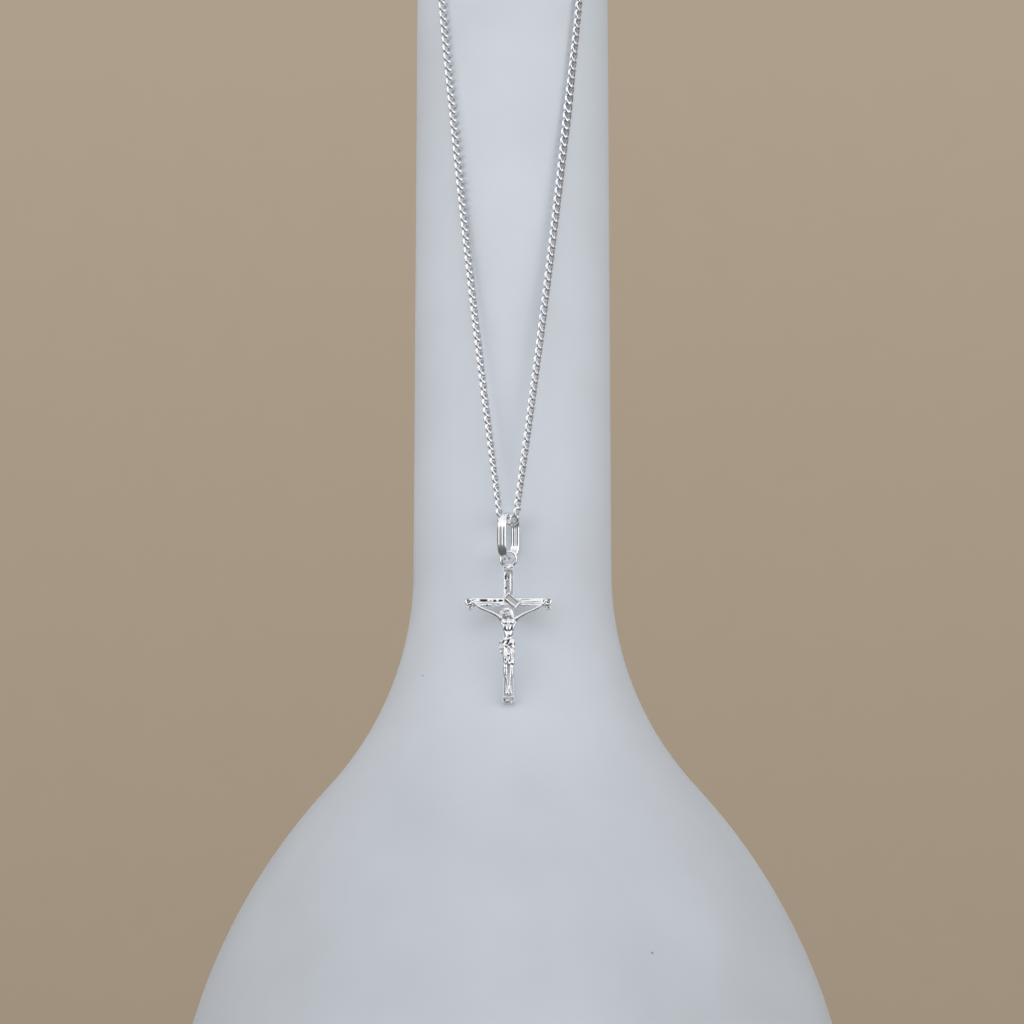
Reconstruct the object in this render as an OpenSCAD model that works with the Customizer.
// Crucifix pendant on a curb chain, hung over a long-necked display stand.
// Millimetres, +Z up. The front faces -Y, and the origin is the middle of the stand's foot.

/* [Display stand] */
// Height of the stand, to the top of its dome
stand_h = 341.7; // [335:0.1:355]
// Radius of the flat foot
foot_r = 42; // [38:0.5:48]
// Largest radius of the belly
belly_r = 54.8; // [52:0.2:60]
// Radius of the round turn under the belly
belly_low_r = 20; // [16:0.5:24]
// Radius of the belly's long outward curve
belly_curve_r = 95.7; // [88:0.5:104]
// Radius of the inward curve between belly and neck
flare_r = 50; // [44:0.5:56]
// Radius of the neck where it leaves the flare
neck_r = 15.7; // [14.5:0.1:17]
// Radius of the neck at its domed top
neck_top_r = 14.3; // [13:0.1:15]

/* [Chain] */
// Length of the whole necklace, clasp included
chain_len = 457; // [445:1:465]
// Width of the curb chain
chain_w = 1.4; // [1.2:0.05:1.6]
// How much more a strand spreads near the bail than near the dome
strand_bow = 0.42; // [0.2:0.01:0.6]
// Distance of the pendant from the stand's middle, to the right
pendant_x = -0.65; // [-1:0.05:1]

/* [Clasp] */
// Radius of the clasp's ring, to the middle of its wire
clasp_r = 1.9; // [1.6:0.05:2.4]
// Thickness of the clasp's ring
clasp_wire = 1.1; // [0.9:0.05:1.3]
// Radius of each end loop, to the middle of its wire
clasp_loop_r = 0.6; // [0.55:0.01:0.8]
// Thickness of each end loop's wire
clasp_loop_wire = 0.5; // [0.4:0.02:0.55]

/* [Bail] */
// Radius of the bail, to the middle of its wire
bail_r = 3.05; // [2.9:0.05:3.4]
// Thickness of the bail's wire
bail_wire = 0.95; // [0.85:0.01:1]
// Width of the band that swells out of the wire half-way up
bail_band_w = 1.5; // [1.2:0.05:1.8]
// Thickness of that band
bail_band_t = 0.8; // [0.6:0.05:0.8]
// Width of the band at the bail's top and bottom
bail_band_end_w = 0.4; // [0.3:0.05:0.6]
// How far the bail is turned from straight on to the neck, in degrees
bail_turn = 20.4; // [0:0.5:25]

/* [Cross] */
// Outside width of the eye ring
eye_w = 2.9; // [2.8:0.05:3.3]
// Thickness of the eye ring's wire
eye_wire = 0.65; // [0.5:0.05:0.7]
// Height of the cross, from under the eye to its foot
cross_h = 21.8; // [20:0.2:24]
// Width of the beam over its knobs
beam_w = 13.8; // [12.5:0.1:15]
// Height of the beam
beam_h = 1.3; // [1.1:0.05:1.5]
// Distance from the upright's top to the middle of the beam
beam_drop = 5.9; // [5.5:0.1:6.5]
// Width of the upright
upright_w = 1.6; // [1.4:0.05:1.8]
// Thickness of the cross from front to back
cross_t = 1.1; // [0.9:0.05:1.3]
// Radius of the knob at each end of the beam
knob_r = 0.8; // [0.75:0.05:0.9]
// Radius of the small curl under each knob
curl_r = 0.42; // [0.35:0.01:0.5]
// Height of the block at the foot of the upright
foot_block_h = 1.1; // [0.9:0.05:1.3]
// How far the foot block stands out of the upright, at its front, sides and bottom
foot_block_out = 0.12; // [0.1:0.02:0.3]
// Length of the blank title scroll
title_l = 2.6; // [2.2:0.1:3]
// Width of the title scroll
title_w = 1.2; // [1:0.05:1.4]
// How far the title scroll stands in front of the cross
title_out = 0.35; // [0.25:0.05:0.5]
// Slope of the title scroll, down to the right, in degrees
title_slope = 40; // [30:1:45]

/* [Figure] */
// Height of the figure, from the top of its head to its toes
figure_h = 13.8; // [13:0.1:14.4]
// Distance from the upright's top to the top of the head
head_drop = 6.5; // [6.3:0.1:7]
// Width of the chest
chest_w = 2; // [1.8:0.05:2.2]
// Depth of the chest
chest_d = 1.5; // [1.3:0.05:1.7]
// Height of the head with its hair
head_h = 1.9; // [1.7:0.05:2.1]
// Width of the head with its hair
head_w = 1.5; // [1.4:0.05:1.7]
// Thickness of an arm at the shoulder
arm_t = 0.62; // [0.5:0.02:0.8]

/* [Clearances] */
// Gap between the chain and what it lies on
lie_gap = 0.1; // [0.05:0.01:0.2]
// Gap between the bail's wire and the chain under it
hang_gap = 0.1; // [0.05:0.01:0.15]
// Gap between the pendant and the stand behind it
back_gap = 0.25; // [0.2:0.05:0.5]
// Distance from the middle of the bail's wire to the middle of the eye below it
eye_sag = 0.12; // [0:0.01:0.15]

/* [Hidden] */
$fn = 96;

// Stand outline: two arcs that meet in one tangent, worked out from their radii
belly_z = sqrt(pow(belly_low_r, 2) - pow(foot_r - belly_r + belly_low_r, 2));
belly_x = belly_r - belly_curve_r;
flare_x = neck_r + flare_r;
arc_sum = flare_r + belly_curve_r;
flare_z = belly_z + sqrt(pow(arc_sum, 2) - pow(flare_x - belly_x, 2));
turn_z = lerp(belly_z, flare_z, belly_curve_r / arc_sum);
dome_z = stand_h - neck_top_r;

// Places of the chain, from how it lies
chain_r = chain_w / 2;
lift = chain_r + lie_gap;
crown_r = neck_top_r + lift;
u_r = bail_wire / 2 + hang_gap + chain_r;
// First reckoning of the bail's distance from the stand's middle, with the neck's lower radius
bail_depth_guess = neck_r + bail_back(0) + back_gap;
plan_len = plan_length(0, bail_depth_guess);
strand_len = (chain_len - PI * u_r) / 2 - PI / 2 * crown_r;
strand_h = sqrt(pow(strand_len, 2) - pow(plan_len, 2) * (1 + pow(strand_bow, 2) / 3));
hang_z = dome_z - strand_h;
bail_z = hang_z - bail_r;
pivot_z = bail_z - bail_r;
// The bail clears the stand behind its middle and all the way down to its bottom
bail_depth = back_gap
    + max([for (a = [0:10:90]) stand_r(bail_z - (bail_r + bail_wire / 2) * sin(a)) + bail_back(a)]);
crown_tilt = atan(plan_len * (1 - strand_bow) / strand_h);
clasp_lift = neck_top_r + lie_gap + clasp_wire / 2;
clasp_loop_at = clasp_r + clasp_wire / 2 + clasp_loop_r;
clasp_half = clasp_loop_at + clasp_loop_r + clasp_loop_wire / 2;
chain_end = 90 - (clasp_half + lie_gap) / crown_r * 180 / PI;

// Places on the crucifix, from the middle of the bail's bottom wire
eye_r = (eye_w - eye_wire) / 2;
top_z = -eye_sag - eye_r;
beam_z = top_z - beam_drop;
foot_z = top_z - cross_h;
face_y = -cross_t / 2;
head_top_z = top_z - head_drop;
// The foot of the cross leans forward just enough to clear the flare
foot_world_r = stand_r(pivot_z + foot_z);
cross_lean = asin(max(0, foot_world_r + back_gap + cross_t / 2 - bail_depth) / -foot_z);

// Degrees between the points of the stand's outline
outline_step = 2.5;

// Rings of the chain's tube
tube_sides = 8;
u_steps = 9;
strand_steps = 26;
crown_steps = 8;

// Figure sections. Columns: down the figure as a share of figure_h; width, depth, offset
// to the right and distance of the middle from the cross's face as shares of the chest
trunk_rows = [
    [0.100, 0.36, 0.44, -0.08, 0.36],
    [0.125, 0.44, 0.52, -0.02, 0.28],
    [0.140, 1.06, 0.66, 0.00, 0.30],
    [0.200, 1.14, 0.92, 0.00, 0.36],
    [0.245, 1.04, 1.00, 0.00, 0.40],
    [0.295, 0.97, 0.94, 0.00, 0.38],
    [0.350, 0.80, 0.78, 0.00, 0.30],
    [0.420, 0.92, 0.86, -0.02, 0.34],
    [0.500, 1.00, 0.88, -0.02, 0.34],
    [0.580, 0.90, 0.74, 0.00, 0.30]
];
cloth_rows = [
    [0.360, 0.86, 0.84, -0.02, 0.31],
    [0.390, 1.02, 0.98, -0.02, 0.36],
    [0.460, 1.18, 1.06, -0.02, 0.40],
    [0.560, 1.16, 1.04, 0.00, 0.40],
    [0.630, 1.04, 0.96, 0.00, 0.38],
    [0.650, 0.84, 0.76, 0.00, 0.34]
];
// One leg, and its offset counts outwards
leg_rows = [
    [0.530, 0.46, 0.72, 0.24, 0.30],
    [0.610, 0.50, 0.88, 0.24, 0.38],
    [0.700, 0.42, 0.90, 0.21, 0.40],
    [0.780, 0.40, 0.70, 0.19, 0.30],
    [0.870, 0.32, 0.52, 0.15, 0.22],
    [0.920, 0.28, 0.52, 0.14, 0.24],
    [0.965, 0.28, 0.66, 0.13, 0.30],
    [1.000, 0.20, 0.44, 0.12, 0.26]
];
// The loincloth's knot and hanging end at the left hip
knot_rows = [
    [0.415, 0.26, 0.40, -0.44, 0.42],
    [0.430, 0.36, 0.46, -0.58, 0.40],
    [0.470, 0.30, 0.36, -0.64, 0.36],
    [0.520, 0.24, 0.28, -0.58, 0.34],
    [0.550, 0.12, 0.16, -0.54, 0.34]
];
// Arm sections. Columns: along the arm, thickness as a share of arm_t, sag and distance
// of the middle from the cross's face as shares of arm_t
arm_rows = [
    [0.00, 1.15, 0.00, 0.70],
    [0.12, 1.00, 0.10, 0.66],
    [0.30, 0.82, 0.20, 0.60],
    [0.50, 0.76, 0.24, 0.56],
    [0.70, 0.72, 0.16, 0.52],
    [0.88, 0.60, 0.04, 0.46],
    [0.96, 0.84, 0.00, 0.42],
    [1.00, 0.56, 0.00, 0.40]
];
body_sides = 12;
limb_sides = 10;
// Where the arms start: shares of chest_w to the side and of figure_h down
shoulder_out = 0.5;
shoulder_down = 0.135;
// The hands' height over the middle of the beam, as a share of beam_h
hand_up = 0.25;
// The head's middle: shares of chest_w to the right, of chest_d in front and of head_h down
head_right = -0.1;
head_front = 0.5;
head_mid = 0.48;
// The head leans to its left and nods forward, in degrees, and has so many rings
head_lean = 14;
head_nod = 16;
head_steps = 8;

// How far each knob stands proud of the cross, and how far the beam and curls lie behind it
knob_proud = 0.05;
beam_back = 0.02;
curl_back = 0.05;
// Middle of each curl: in from the beam's end and up into the knob, as shares of their radii
curl_in = 0.7;
curl_up = 0.5;
// Middle of the title scroll: shares of upright_w to the right and of beam_h up
title_right = 0.45;
title_up = 0.3;

function lerp(a, b, t) = a + (b - a) * t;
function unit(v) = v / norm(v);
function arc(centre, r, from, to) =
    let (n = ceil(abs(to - from) / outline_step))
    [for (i = [0:n]) let (a = lerp(from, to, i / n)) centre + r * [cos(a), sin(a)]];

// Radius of the stand's outside at a height
function stand_r(z) =
    z > flare_z ? lerp(neck_r, neck_top_r, (z - flare_z) / (dome_z - flare_z)) :
    z > turn_z ? flare_x - sqrt(pow(flare_r, 2) - pow(flare_z - z, 2)) :
    belly_x + sqrt(pow(belly_curve_r, 2) - pow(z - belly_z, 2));

// How far the bail's outside reaches behind its middle, at an angle below its mid-height
function bail_back(a) =
    (bail_r + bail_wire / 2) * cos(a) * cos(bail_turn) + bail_band_w / 4 * sin(bail_turn);

// How far out to its side a strand starts, and how far round the neck it then meets the side
function start_x(side) = u_r + side * pendant_x;
function plan_length(side, depth) =
    let (rho = norm([start_x(side), depth]))
    sqrt(pow(rho, 2) - pow(crown_r, 2))
        + crown_r * (90 - atan2(start_x(side), depth) - acos(crown_r / rho)) * PI / 180;

// Plan view of a strand: straight on to the neck, then round it
function strand_plan(side, z, s) =
    let (
        x0 = start_x(side),
        rho = norm([x0, bail_depth]),
        r = stand_r(z) + lift,
        straight = sqrt(pow(rho, 2) - pow(r, 2)),
        meet = atan2(x0, bail_depth) + acos(r / rho),
        a = meet + max(0, s - straight) / r * 180 / PI,
        on_neck = r * [sin(a), -cos(a)]
    )
    s < straight ? lerp([x0, -bail_depth], on_neck, s / straight) : on_neck;

// A strand from the bail, t = 0, to the side of the dome, t = 1
function strand_point(side, t) =
    let (
        z = hang_z + t * strand_h,
        p = strand_plan(side, z, plan_length(side, bail_depth) * t * (1 + strand_bow * (1 - t)))
    )
    [side * p.x, p.y, z];

// Over the dome on a great circle that is tilted back
function crown_point(side, a) =
    crown_r * [side * cos(a), sin(a) * sin(crown_tilt), sin(a) * cos(crown_tilt)] + [0, 0, dome_z];

chain_path = concat(
    [for (i = [0:crown_steps]) crown_point(-1, lerp(chain_end, 0, i / crown_steps))],
    [for (i = [1:strand_steps]) strand_point(-1, 1 - i / strand_steps)],
    [for (i = [1:u_steps - 1]) let (a = 180 + 180 * i / u_steps)
        [pendant_x + u_r * cos(a), -bail_depth, hang_z + u_r * sin(a)]],
    [for (i = [0:strand_steps - 1]) strand_point(1, i / strand_steps)],
    [for (i = [0:crown_steps]) crown_point(1, lerp(0, chain_end, i / crown_steps))]
);

// A tube through a path, with an elliptical ring at each point: across from side to side,
// deep towards the direction that facing gives
module swept(path, across, deep, facing, sides) {
    last = len(path) - 1;
    points = [
        for (i = [0:last])
            let (
                along = unit(path[min(i + 1, last)] - path[max(i - 1, 0)]),
                out = unit(facing[i] - (facing[i] * along) * along),
                side = cross(along, out)
            )
            for (j = [0:sides - 1]) let (a = 360 * (j + 0.5) / sides)
                path[i] + side * across[i] * cos(a) + out * deep[i] * sin(a)
    ];
    walls = [
        for (i = [0:last - 1]) for (j = [0:sides - 1])
            let (k = (j + 1) % sides, a = i * sides, b = a + sides)
            each [[a + j, b + k, b + j], [a + j, a + k, b + k]]
    ];
    first_cap = [for (j = [0:sides - 1]) sides - 1 - j];
    last_cap = [for (j = [0:sides - 1]) last * sides + j];
    polyhedron(points, concat([first_cap], walls, [last_cap]));
}

// A body part through horizontal sections of the figure; flip turns its offset over
module sections(rows, sides, flip = 1) {
    path = [for (r = rows) [
        flip * r[3] * chest_w,
        face_y - r[4] * chest_d,
        head_top_z - r[0] * figure_h
    ]];
    swept(path, [for (r = rows) r[1] * chest_w / 2], [for (r = rows) r[2] * chest_d / 2],
        [for (r = rows) [0, -1, 0]], sides);
}

module arm(side) {
    shoulder = [side * shoulder_out * chest_w, head_top_z - shoulder_down * figure_h];
    hand = [side * (beam_w / 2 - knob_r), beam_z + hand_up * beam_h];
    path = [for (r = arm_rows)
        let (p = lerp(shoulder, hand, r[0]))
        [p.x, face_y - r[3] * arm_t, p.y - r[2] * arm_t]];
    swept(path, [for (r = arm_rows) r[1] * arm_t / 2], [for (r = arm_rows) r[1] * arm_t / 2],
        [for (r = arm_rows) [0, -1, 0]], limb_sides);
}

module head() {
    angles = [for (i = [0:head_steps]) -85 + 170 * i / head_steps];
    translate([
        head_right * chest_w,
        face_y - head_front * chest_d,
        head_top_z - head_mid * head_h
    ])
        rotate([head_nod, -head_lean, 0])
            swept([for (a = angles) [0, 0, -head_h / 2 * sin(a)]],
                [for (a = angles) head_w / 2 * cos(a)], [for (a = angles) head_w / 2 * cos(a)],
                [for (a = angles) [0, -1, 0]], body_sides);
}

module beam_end(side) {
    translate([side * (beam_w / 2 - knob_r), 0, beam_z])
        rotate([90, 0, 0])
            cylinder(r = knob_r, h = cross_t + 2 * knob_proud, center = true);
    translate([side * (beam_w / 2 - curl_in * knob_r), 0, beam_z - knob_r - curl_up * curl_r])
        rotate([90, 0, 0])
            cylinder(r = curl_r, h = cross_t - 2 * curl_back, center = true);
}

module cross_body() {
    translate([-upright_w / 2, -cross_t / 2, foot_z])
        cube([upright_w, cross_t, cross_h]);
    translate([knob_r - beam_w / 2, beam_back - cross_t / 2, beam_z - beam_h / 2])
        cube([beam_w - 2 * knob_r, cross_t - 2 * beam_back, beam_h]);
    for (side = [-1, 1])
        beam_end(side);
    // Block at the foot, proud at its front, sides and bottom
    translate([
        -upright_w / 2 - foot_block_out,
        -cross_t / 2 - foot_block_out,
        foot_z - foot_block_out
    ])
        cube([upright_w + 2 * foot_block_out, cross_t, foot_block_h]);
    // Blank title scroll, laid at a slope over the crossing
    translate([title_right * upright_w, face_y - title_out, beam_z + title_up * beam_h])
        rotate([0, title_slope, 0])
            translate([-title_l / 2, 0, -title_w / 2])
                cube([title_l, title_out + cross_t / 2, title_w]);
}

module display_stand() {
    foot_a = -asin(belly_z / belly_low_r);
    turn_a = atan2(flare_z - belly_z, flare_x - belly_x);
    color("whitesmoke")
        rotate_extrude()
            polygon(concat(
                [[0, 0]],
                arc([belly_r - belly_low_r, belly_z], belly_low_r, foot_a, 0),
                arc([belly_x, belly_z], belly_curve_r, outline_step, turn_a),
                arc([flare_x, flare_z], flare_r, 180 + turn_a - outline_step, 180),
                arc([0, dome_z], neck_top_r, 0, 90)
            ));
}

module chain() {
    color("silver")
        swept(chain_path, [for (p = chain_path) chain_r], [for (p = chain_path) chain_r],
            [for (p = chain_path) p - [0, 0, min(p.z, dome_z)]], tube_sides);
}

module clasp() {
    color("silver")
        translate([0, 0, dome_z])
            rotate([-crown_tilt, 0, 0]) {
                translate([0, 0, clasp_lift])
                    rotate_extrude()
                        translate([clasp_r, 0])
                            circle(d = clasp_wire);
                for (side = [-1, 1])
                    rotate([0, side * clasp_loop_at / clasp_lift * 180 / PI, 0])
                        translate([0, 0, clasp_lift])
                            rotate_extrude()
                                translate([clasp_loop_r, 0])
                                    circle(d = clasp_loop_wire);
            }
}

// Outline of the band seen from the front, a lens as high as the bail
module band_outline() {
    swell = (bail_band_w - bail_band_end_w) / 2;
    lens_r = (pow(bail_r, 2) + pow(swell, 2)) / (2 * swell);
    intersection_for (side = [-1, 1])
        translate([side * (lens_r - bail_band_w / 2), 0])
            circle(r = lens_r);
}

module bail() {
    color("silver")
        translate([pendant_x, -bail_depth, bail_z])
            rotate([0, 0, -bail_turn]) {
                rotate([0, 90, 0])
                    rotate_extrude()
                        translate([bail_r, 0])
                            circle(d = bail_wire);
                intersection() {
                    rotate([0, 90, 0])
                        rotate_extrude()
                            translate([bail_r, 0]) {
                                for (side = [-1, 1])
                                    translate([0, side * (bail_band_w - bail_band_t) / 2])
                                        circle(d = bail_band_t);
                                square([bail_band_t, bail_band_w - bail_band_t], center = true);
                            }
                    rotate([90, 0, 0])
                        linear_extrude(4 * bail_r, center = true)
                            band_outline();
                }
            }
}

module crucifix() {
    color("silver")
        translate([pendant_x, -bail_depth, pivot_z])
            rotate([-cross_lean, 0, 0]) {
                translate([0, 0, -eye_sag])
                    rotate([90, 0, 0])
                        rotate_extrude()
                            translate([eye_r, 0])
                                circle(d = eye_wire);
                cross_body();
                sections(trunk_rows, body_sides);
                sections(cloth_rows, body_sides);
                sections(knot_rows, limb_sides);
                head();
                for (side = [-1, 1]) {
                    sections(leg_rows, limb_sides, side);
                    arm(side);
                }
            }
}

display_stand();
chain();
clasp();
bail();
crucifix();
